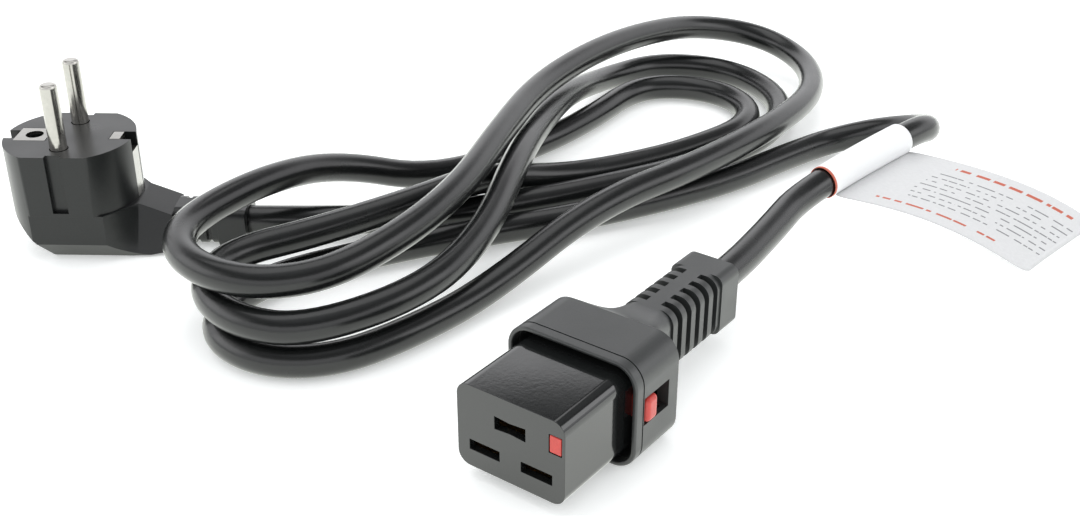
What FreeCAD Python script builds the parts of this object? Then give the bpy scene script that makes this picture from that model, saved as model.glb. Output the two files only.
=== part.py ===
import math
import os
import re

import FreeCAD
import Part
import Sketcher

# Frame: +X is the way the connector's face points, +Y the side with the
# release button, +Z up. The origin is under the middle of the connector, on
# the surface it lies on. Every length is in millimetres.
os.makedirs("parts", exist_ok=True)
document = FreeCAD.newDocument("power_connector")

# ---------------------------------------------------------------- sizes
sheet = document.addObject("Spreadsheet::Sheet", "sizes")
size_rows = [
    # cord and its cores
    ("cord_radius", 4.25),
    ("cord_gap", 0.2),
    ("core_radius", 1.4),
    ("core_lead", 2.0),
    ("core_step_side", 1.6),
    ("core_step_down", 0.9),
    ("core_step_up", 1.9),
    # connector, lengths along the axis are counted from the face backwards
    ("connector_length", 84.0),
    ("shroud_width", 28.8),
    ("shroud_height", 21.2),
    ("shroud_corner", 3.2),
    ("face_wall", 2.0),
    ("fit_gap", 0.2),
    ("block_depth", 36.0),
    ("cap_depth", 2.0),
    ("grip_width", 35.2),
    ("grip_height", 27.2),
    ("grip_corner", 6.0),
    ("side_wall", 1.3),
    ("top_wall", 1.1),
    ("lip_start", 22.0),
    ("parting_depth", 25.0),
    ("recess_width", "=grip_width - 2 * side_wall"),
    ("recess_height", "=grip_height - 2 * top_wall"),
    ("recess_corner", "=grip_corner - side_wall"),
    ("flange_setback", 2.0),
    ("flange_thickness", 3.0),
    ("flange_end", "=block_depth - flange_setback"),
    ("flange_start", "=flange_end - flange_thickness"),
    ("ridge_setback", 1.0),
    ("ridge_depth", "=block_depth + cap_depth + ridge_setback"),
    ("neck_start", 54.0),
    ("neck_width", 12.8),
    ("neck_height", 16.8),
    ("neck_corner", 3.6),
    ("relief_width", 14.0),
    ("relief_height", "=neck_height"),
    ("collar_length", 8.0),
    ("collar_start", "=connector_length - collar_length"),
    ("collar_width", 14.8),
    ("collar_height", "=neck_height"),
    ("collar_corner", 2.4),
    ("rib_lead", 2.0),
    ("rib_end_gap", 1.4),
    ("rib_slot_start", "=neck_start + rib_lead"),
    ("rib_slot_width", 2.1),
    ("rib_slot_pitch", 4.1),
    ("rib_row_length", "=collar_start - rib_slot_start - rib_end_gap - rib_slot_width"),
    ("rib_slot_count", "=floor(rib_row_length / rib_slot_pitch) + 1"),
    ("spine_half", 2.0),
    ("core_wall", 0.95),
    ("core_half", "=cord_radius + cord_gap + core_wall"),
    ("chamber_reach", 6.0),
    ("chamber_end", "=neck_start + chamber_reach"),
    # contact slots and channels of the connector
    ("slot_width", 8.3),
    ("slot_height", 2.6),
    ("slot_spacing", 14.0),
    ("slot_level", -4.8),
    ("earth_level", 3.7),
    ("earth_slot_flare", 0.35),
    ("channel_margin", 0.9),
    ("channel_width", "=slot_width + 2 * channel_margin"),
    ("channel_height", "=slot_height + 2 * channel_margin"),
    ("contact_gap", 0.3),
    ("contact_width", "=channel_width - 2 * contact_gap"),
    ("contact_height", "=channel_height - contact_gap"),
    ("contact_wall", 0.5),
    ("contact_box", 14.0),
    ("contact_front", 2.0),
    ("tail_width", 3.2),
    ("barrel_length", 8.5),
    ("barrel_reach", 0.5),
    ("barrel_end", "=block_depth + cap_depth + barrel_reach"),
    ("barrel_start", "=barrel_end - barrel_length"),
    ("barrel_radius", 1.8),
    ("chamber_gap", 0.9),
    ("chamber_width", "=slot_spacing + 2 * (core_radius + chamber_gap)"),
    ("chamber_height", "=2 * (core_radius + chamber_gap - slot_level)"),
    # release slider of the connector
    ("window_wall", 0.8),
    ("window_width", 3.4),
    ("window_outer", "=shroud_width / 2 - window_wall"),
    ("window_inner", "=window_outer - window_width"),
    ("window_low", 2.2),
    ("window_high", 6.9),
    ("slider_gap", 0.2),
    ("slider_travel", 5.0),
    ("stop_gap", 0.4),
    ("button_lead", 0.6),
    ("button_start", "=parting_depth + button_lead"),
    ("button_length", 4.2),
    ("button_low", -2.0),
    ("button_high", 4.3),
    ("button_proud", 0.8),
    ("button_reach", "=grip_width / 2 + button_proud"),
    ("button_slot_start", "=button_start - stop_gap"),
    ("button_slot_end", "=button_start + button_length + slider_travel + stop_gap"),
    ("button_slot_low", "=button_low - stop_gap"),
    ("button_slot_high", "=button_high + stop_gap"),
    ("lock_lead", 2.0),
    ("lock_gap", 0.6),
    ("lock_plate_start", "=contact_front + contact_box + lock_lead"),
    ("lock_plate_thickness", 1.0),
    ("lock_cavity_start", "=lock_plate_start - lock_gap"),
    ("lock_cavity_end", "=lock_plate_start + lock_plate_thickness + slider_travel + lock_gap"),
    ("lock_cavity_half", 6.5),
    ("lock_cavity_low", -0.6),
    ("lock_cavity_high", 7.6),
    ("spring_radius", 1.3),
    ("spring_wire", 0.4),
    ("spring_turns", 5.0),
    # wrap-round tag on the cord
    ("tag_width", 33.0),
    ("tag_sheet", 0.4),
    ("tag_gap", 0.25),
    ("tag_reach", 54.0),
    ("tag_lean", 0.42),
    # plug, heights are counted from the surface it stands on
    ("plug_x", 19.7),
    ("plug_y", -173.9),
    ("plug_yaw", 125.0),
    ("plug_radius", 18.25),
    ("plug_face", 32.0),
    ("plug_ledge", 14.0),
    ("plug_flat", 16.0),
    ("guide_width", 4.4),
    ("guide_depth", 1.5),
    ("guide_stop", 1.0),
    ("guide_length", "=plug_face - plug_ledge - guide_stop"),
    ("block_width", 31.0),
    ("block_chamfer_width", 3.4),
    ("block_chamfer_height", 5.0),
    ("plug_axis", 5.8),
    ("plug_neck_start", 28.0),
    ("plug_neck_top_width", 13.6),
    ("plug_neck_foot_width", 22.6),
    ("plug_neck_low", 1.0),
    ("plug_neck_high", 10.5),
    ("plug_relief_width", 13.4),
    ("plug_relief_height", 11.0),
    ("plug_collar_width", 14.8),
    ("plug_collar_height", 11.2),
    ("plug_rib_start", "=plug_neck_start + rib_lead"),
    ("plug_rib_width", 1.6),
    ("plug_rib_pitch", 3.6),
    ("plug_rib_count", 3),
    ("plug_rib_row", "=(plug_rib_count - 1) * plug_rib_pitch + plug_rib_width"),
    ("plug_collar_start", "=plug_rib_start + plug_rib_row + rib_lead"),
    ("plug_relief_end", "=plug_collar_start + collar_length"),
    ("plug_cord_inside", 14.0),
    ("plug_cord_end", "=plug_relief_end - plug_cord_inside"),
    ("plug_cord_straight", 34.0),
    ("plug_skin", 2.0),
    ("strip_inset", 0.25),
    ("strip_step_in", 3.2),
    ("strip_step_drop", 4.0),
    ("strip_width", 5.0),
    ("strip_sheet", 0.8),
    ("strip_half", "=plug_radius - strip_inset"),
    ("strip_step", "=strip_half - strip_step_in"),
    ("strip_step_level", "=plug_face - strip_step_drop"),
    ("right_plate_length", 2.9),
    ("right_plate_end", "=strip_step - right_plate_length"),
    ("earth_plate_width", 8.6),
    ("earth_hole_radius", 2.45),
    ("earth_hole_offset", 10.0),
    ("bridge_gap", 0.6),
    ("bridge_radius", "=strip_step - strip_sheet - bridge_gap"),
    ("bridge_floor", 15.0),
    ("pin_radius", 2.4),
    ("pin_reach", 19.0),
    ("pin_spacing", 19.0),
    ("pin_tip", 1.0),
    ("pin_shank_radius", 2.2),
    ("pin_head_radius", 3.2),
    ("pin_head_height", 2.0),
    ("pin_stub_radius", 1.9),
    ("pin_stub_length", 1.4),
]
for row, (alias, value) in enumerate(size_rows, start=1):
    sheet.set("A%d" % row, alias)
    sheet.set("B%d" % row, str(value))
    sheet.setAlias("B%d" % row, alias)
document.recompute()


def bound(formula):
    """Formula of size names as an expression on the sheet."""
    return re.sub(r"[a-z_]+", lambda match: "sizes." + match.group(0), formula)


def size(formula):
    """Number that a formula of size names gives."""
    result = sheet.evalExpression(bound(formula))
    return float(getattr(result, "Value", result))


# ---------------------------------------------------------------- helpers
def new_body(label, placement):
    body = document.addObject("PartDesign::Body", label)
    body.Label = label
    body.Placement = placement
    return body


def new_sketch(body, role, offset, name):
    """Empty sketch on an origin plane of the body, moved along its normal."""
    plane = [item for item in body.Origin.OriginFeatures if item.Role == role][0]
    sketch = body.newObject("Sketcher::SketchObject", name)
    sketch.AttachmentSupport = [(plane, "")]
    sketch.MapMode = "FlatFace"
    sketch.setExpression("AttachmentOffset.Base.z", bound(offset))
    return sketch


def measure(sketch, kind, items, formula):
    """Add one dimension that follows the sheet."""
    index = sketch.addConstraint(Sketcher.Constraint(kind, *items, size(formula)))
    sketch.setExpression("Constraints[%d]" % index, bound(formula))


def fix_point(sketch, geometry, corner, across, upward):
    """Tie one point of a sketch to the sketch's origin."""
    for kind, axis, formula in (("DistanceX", -2, across), ("DistanceY", -1, upward)):
        if abs(size(formula)) < 1e-9:
            sketch.addConstraint(Sketcher.Constraint("PointOnObject", geometry, corner, axis))
        else:
            measure(sketch, kind, (-1, 1, geometry, corner), formula)


def draw_polygon(sketch, corners):
    """Closed outline through corners given as pairs of formulas."""
    points = [FreeCAD.Vector(size(across), size(upward), 0) for across, upward in corners]
    count = len(points)
    first = sketch.GeometryCount
    for index in range(count):
        line = Part.LineSegment(points[index], points[(index + 1) % count])
        sketch.addGeometry(line, False)
    for index in range(count):
        following = first + (index + 1) % count
        sketch.addConstraint(Sketcher.Constraint("Coincident", first + index, 2, following, 1))
    for index, (across, upward) in enumerate(corners):
        fix_point(sketch, first + index, 1, across, upward)


def draw_rectangle(sketch, left, right, low, high):
    """Upright rectangle between four formulas."""
    draw_polygon(sketch, [(left, low), (right, low), (right, high), (left, high)])


def draw_circle(sketch, across, upward, radius):
    centre = FreeCAD.Vector(size(across), size(upward), 0)
    circle = Part.Circle(centre, FreeCAD.Vector(0, 0, 1), size(radius))
    index = sketch.addGeometry(circle, False)
    fix_point(sketch, index, 3, across, upward)
    measure(sketch, "Radius", (index,), radius)


def draw_rounded(sketch, width, height, corner, upward="0"):
    """Rectangle with rounded corners, centred across, its middle at upward."""
    half, tall, curve, middle = size(width) / 2, size(height) / 2, size(corner), size(upward)
    vector = FreeCAD.Vector
    first = sketch.GeometryCount
    ends = [
        ((-half + curve, -tall), (half - curve, -tall)),
        ((half, -tall + curve), (half, tall - curve)),
        ((half - curve, tall), (-half + curve, tall)),
        ((-half, tall - curve), (-half, -tall + curve)),
    ]
    for start, end in ends:
        line = Part.LineSegment(
            vector(start[0], start[1] + middle, 0), vector(end[0], end[1] + middle, 0)
        )
        sketch.addGeometry(line, False)
    turns = [(1, -1, -90), (1, 1, 0), (-1, 1, 90), (-1, -1, 180)]
    for side, rise, angle in turns:
        centre = vector(side * (half - curve), rise * (tall - curve) + middle, 0)
        circle = Part.Circle(centre, vector(0, 0, 1), curve)
        start = math.radians(angle)
        sketch.addGeometry(Part.ArcOfCircle(circle, start, start + math.pi / 2), False)
    for index in range(4):
        line, arc, after = first + index, first + 4 + index, first + (index + 1) % 4
        sketch.addConstraint(Sketcher.Constraint("Tangent", line, 2, arc, 1))
        sketch.addConstraint(Sketcher.Constraint("Tangent", arc, 2, after, 1))
    for index, kind in enumerate(("Horizontal", "Vertical", "Horizontal", "Vertical")):
        sketch.addConstraint(Sketcher.Constraint(kind, first + index))
    for index in (5, 6, 7):
        sketch.addConstraint(Sketcher.Constraint("Equal", first + 4, first + index))
    measure(sketch, "Radius", (first + 4,), corner)
    measure(sketch, "DistanceX", (-1, 1, first + 1, 1), "(%s) / 2" % width)
    measure(sketch, "DistanceX", (first + 3, 1, first + 1, 1), width)
    measure(sketch, "DistanceY", (-1, 1, first + 2, 1), "(%s) + (%s) / 2" % (upward, height))
    measure(sketch, "DistanceY", (first, 1, first + 2, 1), height)


def add_pad(body, sketch, length, backwards=False, both_ways=False):
    pad = body.newObject("PartDesign::Pad", "pad")
    pad.Profile = sketch
    pad.setExpression("Length", bound(length))
    pad.Reversed = backwards
    pad.Midplane = both_ways
    document.recompute()
    return pad


def add_pocket(body, sketch, length, forwards=False, both_ways=False):
    """Pocket that must take material away."""
    before = body.Shape.Volume
    pocket = body.newObject("PartDesign::Pocket", "pocket")
    pocket.Profile = sketch
    pocket.setExpression("Length", bound(length))
    pocket.Reversed = forwards
    pocket.Midplane = both_ways
    document.recompute()
    if not body.Shape.Volume < before - 1e-3:
        raise ValueError("pocket of %s takes nothing away" % body.Label)
    return pocket


def repeat_along(body, feature, axis_sketch, pitch, count, flipped):
    """Row of one feature along the normal of its sketch."""
    before = body.Shape.Volume
    pattern = body.newObject("PartDesign::LinearPattern", "row")
    pattern.Originals = [feature]
    pattern.Direction = (axis_sketch, ["N_Axis"])
    pattern.Reversed = flipped
    pattern.setExpression("Length", bound("(%s) * (%s - 1)" % (pitch, count)))
    pattern.setExpression("Occurrences", bound(count))
    body.Tip = pattern
    document.recompute()
    if not body.Shape.Volume < before - 1e-3:
        raise ValueError("row of %s takes nothing away" % body.Label)


def add_loft(body, kind, sections, straight):
    loft = body.newObject("PartDesign::" + kind, "loft")
    loft.Profile = sections[0]
    loft.Sections = sections[1:]
    loft.Ruled = straight
    document.recompute()
    return loft


def place(item, **formulas):
    """Position of a solid by formulas."""
    for axis, formula in formulas.items():
        item.setExpression("Placement.Base." + axis, bound(formula))


def new_box(name, length, width, height, **position):
    box = document.addObject("Part::Box", name)
    box.setExpression("Length", bound(length))
    box.setExpression("Width", bound(width))
    box.setExpression("Height", bound(height))
    place(box, **position)
    return box


def new_rod(name, radius, length, axis, **position):
    """Cylinder along x, y or z."""
    rod = document.addObject("Part::Cylinder", name)
    rod.setExpression("Radius", bound(radius))
    rod.setExpression("Height", bound(length))
    turns = {
        "x": FreeCAD.Rotation(FreeCAD.Vector(0, 1, 0), 90),
        "y": FreeCAD.Rotation(FreeCAD.Vector(1, 0, 0), -90),
        "z": FreeCAD.Rotation(),
    }
    rod.Placement = FreeCAD.Placement(FreeCAD.Vector(), turns[axis])
    place(rod, **position)
    return rod


def join(name, items):
    union = document.addObject("Part::MultiFuse", name)
    union.Shapes = items
    union.Refine = True
    return union


def cut_away(name, base, tools):
    cut = document.addObject("Part::Cut", name)
    cut.Base = base
    cut.Tool = tools[0] if len(tools) == 1 else join(name + "_tools", tools)
    cut.Refine = True
    return cut


def bent_path(points):
    """Straight runs joined by tangent arcs, and the smallest arc radius."""
    points = [FreeCAD.Vector(*point) for point in points]
    edges = []
    smallest = 1e9
    start = points[0]
    for before, corner, after in zip(points, points[1:], points[2:]):
        arriving = corner - before
        leaving = after - corner
        margin = 0.45 * min(arriving.Length, leaving.Length)
        turn = arriving.getAngle(leaving)
        arriving.normalize()
        leaving.normalize()
        smallest = min(smallest, margin / math.tan(turn / 2))
        arc_start = corner - arriving * margin
        arc_end = corner + leaving * margin
        inward = (leaving - arriving).normalize()
        edges.append(Part.LineSegment(start, arc_start).toShape())
        height = margin / math.tan(turn / 2) * (1 - math.cos(turn / 2))
        middle = (arc_start + arc_end) * 0.5 - inward * height
        edges.append(Part.Arc(arc_start, middle, arc_end).toShape())
        start = arc_end
    edges.append(Part.LineSegment(start, points[-1]).toShape())
    return Part.Wire(edges), smallest


def swept_tube(points, radius):
    """Round solid along a bent path, with its path length and tightest bend."""
    path, smallest = bent_path(points)
    heading = FreeCAD.Vector(*points[1]) - FreeCAD.Vector(*points[0])
    circle = Part.Circle(FreeCAD.Vector(*points[0]), heading, radius)
    profile = Part.Wire([circle.toShape()])
    tube = path.makePipeShell([profile], True, True)
    return tube, path.Length, smallest


def add_tube(label, points, radius, placement):
    shape, length, smallest = swept_tube(points, radius)
    item = document.addObject("Part::Feature", label)
    item.Label = label
    item.Shape = shape
    item.Placement = placement
    expected = math.pi * radius ** 2 * length
    print(label, "length %.1f, tightest bend %.1f" % (length, smallest))
    if abs(shape.Volume / expected - 1) > 0.02:
        raise ValueError("%s has volume %.1f, not %.1f" % (label, shape.Volume, expected))
    return item


# ---------------------------------------------------------------- places
# The connector's own axis runs backwards from its face: x = -depth.
axis_height = size("grip_height / 2")
connector_place = FreeCAD.Placement(
    FreeCAD.Vector(size("connector_length / 2"), 0, axis_height), FreeCAD.Rotation()
)
# The plug stands with its pins up. Its own x is the way its cord leaves.
plug_turn = FreeCAD.Rotation(FreeCAD.Vector(0, 0, 1), size("plug_yaw"))
plug_place = FreeCAD.Placement(FreeCAD.Vector(size("plug_x"), size("plug_y"), 0), plug_turn)
pieces = []

# ---------------------------------------------------------------- grip
grip = new_body("grip_moulding", connector_place)
section = new_sketch(grip, "YZ_Plane", "-parting_depth", "grip_section")
draw_rounded(section, "grip_width", "grip_height", "grip_corner")
add_pad(grip, section, "ridge_depth - parting_depth", backwards=True)
# hollow shoulders fall from the ridge to the neck
shoulder_run = "ridge_depth + (neck_start - ridge_depth)"
shoulder_rows = [
    ("ridge_depth", "grip_width", "grip_height", "grip_corner"),
    (shoulder_run + " * 0.147", "grip_width * 0.74", "grip_height * 0.90", "grip_corner * 0.85"),
    (shoulder_run + " * 0.333", "grip_width * 0.55", "grip_height * 0.79", "grip_corner * 0.75"),
    (shoulder_run + " * 0.633", "grip_width * 0.43", "grip_height * 0.67", "grip_corner * 0.65"),
    ("neck_start", "neck_width", "neck_height", "neck_corner"),
]
shoulders = []
for depth, width, height, corner in shoulder_rows:
    shoulder = new_sketch(grip, "YZ_Plane", "-(%s)" % depth, "shoulder")
    draw_rounded(shoulder, width, height, corner)
    shoulders.append(shoulder)
add_loft(grip, "AdditiveLoft", shoulders, straight=False)
# strain relief and its end collar
section = new_sketch(grip, "YZ_Plane", "-neck_start", "relief_section")
draw_rounded(section, "relief_width", "relief_height", "neck_corner")
add_pad(grip, section, "collar_start - neck_start", backwards=True)
section = new_sketch(grip, "YZ_Plane", "-collar_start", "collar_section")
draw_rounded(section, "collar_width", "collar_height", "collar_corner")
add_pad(grip, section, "connector_length - collar_start", backwards=True)


def rib_slots(body, start, reach, level):
    """Row of slots from both sides that leaves a round core and two spines."""
    sketch = new_sketch(body, "YZ_Plane", start, "rib_slot")
    for side in ("", "-"):
        draw_polygon(sketch, [
            (side + "spine_half", level + " + " + reach),
            (side + reach, level + " + " + reach),
            (side + reach, level + " - " + reach),
            (side + "spine_half", level + " - " + reach),
            (side + "spine_half", level + " - core_half * 1.12"),
            (side + "core_half", level + " - core_half * 0.72"),
            (side + "core_half", level + " + core_half * 0.72"),
            (side + "spine_half", level + " + core_half * 1.12"),
        ])
    return sketch


slot_sketch = rib_slots(grip, "-rib_slot_start", "relief_height", "0")
slot = add_pocket(grip, slot_sketch, "rib_slot_width")
repeat_along(grip, slot, slot_sketch, "rib_slot_pitch", "rib_slot_count", flipped=True)
# pocket for the contact block, open to the front, then the wiring chamber
section = new_sketch(grip, "YZ_Plane", "-parting_depth", "recess")
draw_rounded(section, "recess_width", "recess_height", "recess_corner")
add_pocket(grip, section, "flange_end - parting_depth")
section = new_sketch(grip, "YZ_Plane", "-flange_end", "block_seat")
draw_rounded(section, "shroud_width + 2 * fit_gap", "shroud_height + 2 * fit_gap",
             "shroud_corner + fit_gap")
add_pocket(grip, section, "block_depth + cap_depth - flange_end")
chamber_rows = [
    ("block_depth + cap_depth", "chamber_width", "chamber_height"),
    (shoulder_run + " * 0.333", "chamber_width * 0.83", "chamber_height * 0.9"),
    (shoulder_run + " * 0.667", "chamber_width * 0.59", "chamber_height * 0.72"),
    ("chamber_end", "cord_radius * 1.65", "cord_radius * 1.65"),
]
chambers = []
for depth, width, height in chamber_rows:
    chamber = new_sketch(grip, "YZ_Plane", "-(%s)" % depth, "chamber")
    draw_rounded(chamber, width, height, "core_radius * 2.1")
    chambers.append(chamber)
add_loft(grip, "SubtractiveLoft", chambers, straight=True)
section = new_sketch(grip, "YZ_Plane", "-chamber_end", "cord_bore")
draw_circle(section, "0", "0", "cord_radius + cord_gap")
add_pocket(grip, section, "connector_length - chamber_end")
# window in the side that the release button stands in
section = new_sketch(grip, "XZ_Plane", "-grip_width", "button_window")
draw_rectangle(section, "-button_slot_end", "-button_slot_start",
               "button_slot_low", "button_slot_high")
add_pocket(grip, section, "grip_width - window_outer", forwards=True)
pieces.append(grip)

# ---------------------------------------------------------------- front ring
ring = new_body("front_ring", connector_place)
section = new_sketch(ring, "YZ_Plane", "-lip_start", "ring_section")
draw_rounded(section, "grip_width", "grip_height", "grip_corner")
draw_rounded(section, "recess_width", "recess_height", "recess_corner")
add_pad(ring, section, "parting_depth - lip_start", backwards=True)
pieces.append(ring)

# ---------------------------------------------------------------- contact block
block = new_body("contact_block", connector_place)
section = new_sketch(block, "YZ_Plane", "0", "shroud_section")
draw_rounded(section, "shroud_width", "shroud_height", "shroud_corner")
add_pad(block, section, "block_depth", backwards=True)
section = new_sketch(block, "YZ_Plane", "-flange_start", "flange_section")
draw_rounded(section, "recess_width - 2 * fit_gap", "recess_height - 2 * fit_gap",
             "recess_corner - fit_gap")
add_pad(block, section, "flange_end - flange_start", backwards=True)
section = new_sketch(block, "YZ_Plane", "0", "pin_slots")
slot_rows = [("-slot_spacing / 2", "slot_level"), ("slot_spacing / 2", "slot_level"),
             ("0", "earth_level")]
for across, level in slot_rows[:2]:
    draw_rectangle(section, across + " - slot_width / 2", across + " + slot_width / 2",
                   level + " - slot_height / 2", level + " + slot_height / 2")
draw_polygon(section, [
    ("-slot_width / 2", "earth_level - slot_height / 2 - earth_slot_flare"),
    ("0", "earth_level - slot_height / 2"),
    ("slot_width / 2", "earth_level - slot_height / 2 - earth_slot_flare"),
    ("slot_width / 2", "earth_level + slot_height / 2 + earth_slot_flare"),
    ("0", "earth_level + slot_height / 2"),
    ("-slot_width / 2", "earth_level + slot_height / 2 + earth_slot_flare"),
])
add_pocket(block, section, "face_wall")
section = new_sketch(block, "YZ_Plane", "-face_wall", "contact_channels")
for across, level in slot_rows:
    draw_rectangle(section, across + " - channel_width / 2", across + " + channel_width / 2",
                   level + " - channel_height / 2", level + " + channel_height / 2")
add_pocket(block, section, "block_depth - face_wall")
# channel of the release slider, its side window and the lock plate's slot
section = new_sketch(block, "YZ_Plane", "0", "slider_channel")
draw_rectangle(section, "window_inner", "window_outer", "window_low", "window_high")
add_pocket(block, section, "block_depth")
section = new_sketch(block, "YZ_Plane", "-button_slot_start", "button_channel")
draw_rectangle(section, "window_inner", "grip_width", "button_slot_low", "button_slot_high")
add_pocket(block, section, "block_depth - button_slot_start")
section = new_sketch(block, "YZ_Plane", "-lock_cavity_start", "lock_slot")
draw_rectangle(section, "-lock_cavity_half", "window_outer",
               "lock_cavity_low", "lock_cavity_high")
add_pocket(block, section, "lock_cavity_end - lock_cavity_start")
pieces.append(block)

# ---------------------------------------------------------------- rear cap
cap = new_body("rear_cap", connector_place)
section = new_sketch(cap, "YZ_Plane", "-block_depth", "cap_section")
draw_rounded(section, "shroud_width", "shroud_height", "shroud_corner")
for across, level in slot_rows:
    draw_circle(section, across, level, "barrel_radius + fit_gap")
add_pad(cap, section, "cap_depth", backwards=True)
section = new_sketch(cap, "YZ_Plane", "-block_depth", "spring_hole")
draw_circle(section, "(window_inner + window_outer) / 2", "0",
            "spring_radius + spring_wire / 2 + fit_gap")
add_pocket(cap, section, "cap_depth")
pieces.append(cap)

# ---------------------------------------------------------------- contacts
contact_rows = [
    ("line_contact", "-slot_spacing / 2", "slot_level"),
    ("neutral_contact", "slot_spacing / 2", "slot_level"),
    ("earth_contact", "0", "earth_level"),
]
for label, across, level in contact_rows:
    floor = "%s - channel_height / 2" % level
    outer = new_box(label + "_outer", "contact_box", "contact_width", "contact_height",
                    x="-contact_front - contact_box", y=across + " - contact_width / 2", z=floor)
    inner = new_box(label + "_inner", "contact_box + 2", "contact_width - 2 * contact_wall",
                    "contact_height - 2 * contact_wall", x="-contact_front - contact_box - 1",
                    y=across + " - contact_width / 2 + contact_wall", z=floor + " + contact_wall")
    seam = new_box(label + "_seam", "contact_box + 2", "contact_wall",
                   "contact_height", x="-contact_front - contact_box - 1",
                   y=across + " - contact_wall / 2", z=floor + " + contact_wall * 2")
    folded = cut_away(label + "_folded", outer, [inner, seam])
    tail = new_box(label + "_tail", "barrel_start - contact_front - contact_box + 2",
                   "tail_width", "contact_wall", x="-barrel_start - 1",
                   y=across + " - tail_width / 2", z=level + " - contact_wall / 2")
    step = new_box(label + "_step", "contact_wall", "tail_width", "channel_height / 2",
                   x="-contact_front - contact_box", y=across + " - tail_width / 2", z=floor)
    barrel = new_rod(label + "_barrel", "barrel_radius", "barrel_end - barrel_start", "x",
                     x="-barrel_end", y=across, z=level)
    contact = join(label, [folded, tail, step, barrel])
    contact.Label = label
    contact.Placement = connector_place
    pieces.append(contact)

# ---------------------------------------------------------------- release slider
bar = new_box("slider_bar", "button_start + button_length",
              "window_outer - window_inner - 2 * slider_gap",
              "window_high - window_low - 2 * slider_gap",
              x="-button_start - button_length", y="window_inner + slider_gap",
              z="window_low + slider_gap")
button = new_box("slider_button", "button_length", "button_reach - window_inner - slider_gap",
                 "button_high - button_low", x="-button_start - button_length",
                 y="window_inner + slider_gap", z="button_low")
slider = join("release_slider", [bar, button])
slider.Label = "release_slider"
slider.Placement = connector_place
pieces.append(slider)

plate = new_box("plate_sheet", "lock_plate_thickness",
                "lock_cavity_half + window_inner - fit_gap",
                "lock_cavity_high - lock_cavity_low - 2 * slider_gap",
                x="-lock_plate_start - lock_plate_thickness",
                y="-lock_cavity_half + slider_gap + fit_gap", z="lock_cavity_low + slider_gap")
aperture = new_box("plate_aperture", "lock_plate_thickness + 2",
                   "channel_width", "channel_height",
                   x="-lock_plate_start - lock_plate_thickness - 1",
                   y="-channel_width / 2", z="earth_level - channel_height / 2")
lock_plate = cut_away("lock_plate", plate, [aperture])
lock_plate.Label = "lock_plate"
lock_plate.Placement = connector_place
pieces.append(lock_plate)

# ---------------------------------------------------------------- return spring
spring_start = size("button_start + button_length + spring_wire / 2 + 0.03")
spring_end = size("block_depth + cap_depth - spring_wire / 2 - 0.03")
spring_pitch = (spring_end - spring_start) / size("spring_turns")
helix = Part.makeHelix(spring_pitch, spring_end - spring_start, size("spring_radius"))
wire_circle = Part.Circle(
    FreeCAD.Vector(size("spring_radius"), 0, 0), FreeCAD.Vector(0, 1, 0),
    size("spring_wire / 2"),
)
coil = Part.Wire(helix).makePipeShell([Part.Wire([wire_circle.toShape()])], True, True)
spring_seat = FreeCAD.Vector(-spring_start, size("(window_inner + window_outer) / 2"), 0)
spring_turn = FreeCAD.Rotation(FreeCAD.Vector(0, 1, 0), -90)
spring = document.addObject("Part::Feature", "return_spring")
spring.Label = "return_spring"
spring.Shape = coil
spring.Placement = connector_place.multiply(FreeCAD.Placement(spring_seat, spring_turn))
pieces.append(spring)

# ---------------------------------------------------------------- cores
side, down, up = size("core_step_side"), size("core_step_down"), size("core_step_up")
barrel_end, chamber_end = size("barrel_end"), size("chamber_end")
neck_start, core_lead = size("neck_start"), size("core_lead")
core_rows = [
    ("line_core", size("-slot_spacing / 2"), size("slot_level"), -side, -down),
    ("neutral_core", size("slot_spacing / 2"), size("slot_level"), side, -down),
    ("earth_core", 0.0, size("earth_level"), 0.0, up),
]
for label, start_across, start_level, end_across, end_level in core_rows:
    core_route = [
        (-barrel_end, start_across, start_level),
        (-barrel_end - core_lead, start_across, start_level),
        (-neck_start, end_across, end_level),
        (-chamber_end, end_across, end_level),
    ]
    pieces.append(add_tube(label, core_route, size("core_radius"), connector_place))


# ---------------------------------------------------------------- cord
def plug_point(along, across, level):
    """Point of the part for a point of the plug's own frame."""
    point = plug_place.multVec(FreeCAD.Vector(along, across, level))
    return (point.x, point.y, point.z)


cord_start = size("connector_length / 2 - chamber_end")
relief_end = -size("connector_length / 2")
low = size("cord_radius") + 0.05
plug_axis = size("plug_axis")
# The cord leaves the relief, folds back under its tag, makes the hank's loops
# and comes to the plug. Each row is one side or one bend of the hank.
cord_route = [(cord_start, 0, axis_height), (relief_end - size("collar_length"), 0, axis_height)]
cord_route += [(-76, -2.2, 14.2), (-101, -5, 15.6), (-149, 7, 21.4)]
cord_route += [(-164, 8.5, 18.5), (-174, -0.5, 13.5), (-175.5, -14.5, 8.5), (-167, -26.5, 4.6)]
cord_route += [(-147, -31, low), (-114, -38, low), (-72, -58, low), (-34, -84, low)]
cord_route += [(-8, -98, low), (13, -106.5, low), (31, -104, low), (41, -93, low)]
cord_route += [(41, -76.5, low), (30, -63, low), (9, -57, low), (-18, -54, 4.6)]
cord_route += [(-62, -50, 14), (-104, -40, 14), (-148, -37.5, 13), (-186, -43.5, 10)]
cord_route += [(-214, -61, 9), (-222, -85, 12), (-201, -102, 18), (-168, -105, 23)]
cord_route += [(-134, -104, 25.5), (-100, -99.5, 25.5), (-66, -87, 25.5), (-34, -74.5, 24.5)]
cord_route += [(-7, -69, 24), (21, -69.5, 23), (36, -78.5, 23), (41, -94.5, 23)]
cord_route += [(37, -111, 23), (24, -121, 23), (-6, -124, 22.5), (-35, -124.5, 16.5)]
cord_route += [(-63, -111, low), (-104, -101, low), (-134, -100, low), (-163, -103, low)]
cord_route += [(-176, -91.5, low), (-179, -74, low), (-170, -59, low), (-154, -54, low)]
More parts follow.
